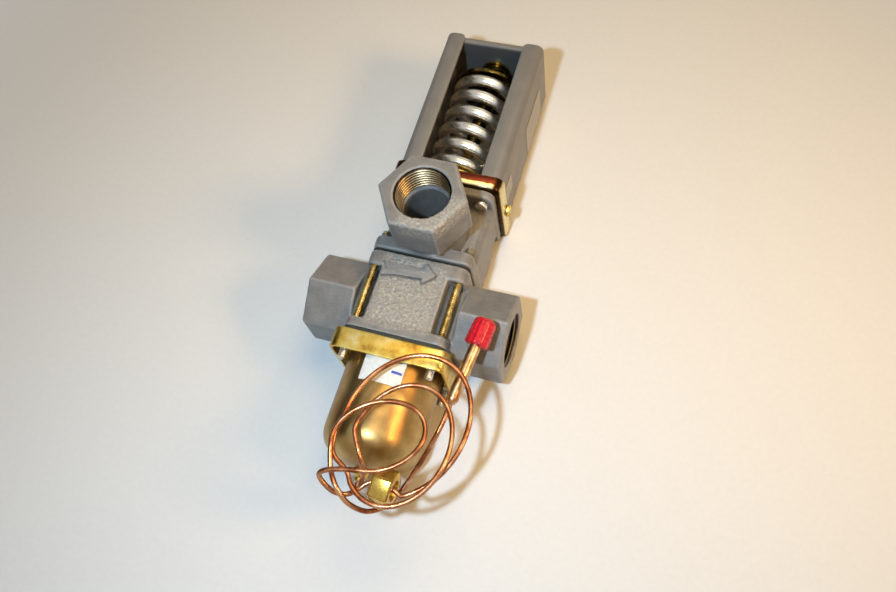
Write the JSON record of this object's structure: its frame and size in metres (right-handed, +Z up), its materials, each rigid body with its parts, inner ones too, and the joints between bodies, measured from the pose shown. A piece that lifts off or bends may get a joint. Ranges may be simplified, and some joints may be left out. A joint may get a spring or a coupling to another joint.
{
  "type": "pressure-actuated three-way water valve",
  "caption": "Three-way water valve worked by refrigerant pressure: hex pipe ports on bolted castings, an open spring housing with adjusting screw, a bellows cup and a coiled capillary.",
  "frame": {"origin": "centre of the valve's box without its free capillary, on the plane its two trays rest on", "axes": "+Y along the valve axis toward the adjusting screw, +Z up out of the front port, +X toward the right side port"},
  "size_m": [0.118, 0.3118, 0.0915],
  "materials": {
    "casting_paint": "semi-gloss grey paint over rough sand-cast iron, port threads bare",
    "sheet_paint": "smooth semi-gloss grey paint on folded sheet steel",
    "yellow_chromate": "yellow chromate over zinc plate",
    "bright_zinc": "bright zinc plate",
    "brass": "drawn and turned brass",
    "copper": "bright drawn copper tube",
    "black_rubber": "matte",
    "stainless_steel": "turned",
    "red_vinyl": "dipped vinyl"
  },
  "bodies": {
    "valve_body": {"lower_casting": "casting_paint", "upper_casting": "casting_paint", "body_gasket": "black_rubber", "tray_gasket": "black_rubber", "lower_seat": "stainless_steel", "upper_seat": "stainless_steel", "upper_stem_bush": "brass", "lower_stem_bush": "brass", "saddle_tray": "yellow_chromate", "bellows_tray": "yellow_chromate", "spring_housing": "sheet_paint", "range_spring": "bright_zinc", "bellows": "brass", "bellows_cup": "brass", "cup_ferrule": "brass", "thrust_washer": "brass", "side_screw_left": "bright_zinc", "side_screw_right": "bright_zinc", "body_bolt_left_front": "yellow_chromate", "body_bolt_right_front": "yellow_chromate", "body_bolt_left_back": "yellow_chromate", "body_bolt_right_back": "yellow_chromate", "flange_screw_left_front": "bright_zinc", "flange_screw_right_front": "bright_zinc", "flange_screw_left_back": "bright_zinc", "flange_screw_right_back": "bright_zinc", "capillary_tube": "copper", "flare_nut": "brass", "tube_stub": "copper", "vinyl_cap": "red_vinyl"},
    "stem": {"valve_stem": "stainless_steel", "lower_disc": "black_rubber", "upper_disc": "black_rubber", "lower_spring_follower": "yellow_chromate", "bellows_plug": "stainless_steel"},
    "screw": {"adjusting_screw": "yellow_chromate"},
    "guide": {"upper_spring_guide": "yellow_chromate"}
  },
  "joints": [
    {"name": "stem_lift", "type": "slide", "parent": "valve_body", "child": "stem", "axis": [0, 1, 0], "range_m": [0, 0.0063], "stiffness_N_per_m": 1500, "springref_m": -0.004, "deforming": ["range_spring", "bellows"]},
    {"name": "screw_turn", "type": "hinge", "parent": "valve_body", "child": "screw", "pos_m": [0, 0.134, 0.0295], "axis": [0, 1, 0], "range_deg": [0, 2700]},
    {"name": "guide_travel", "type": "slide", "parent": "valve_body", "child": "guide", "axis": [0, 1, 0], "range_m": [-0.0119, 0], "deforming": ["range_spring"]}
  ],
  "couplings": [
    {"joint": "screw_turn", "follows": "guide_travel", "rad_per_m": -3957.9}
  ]
}
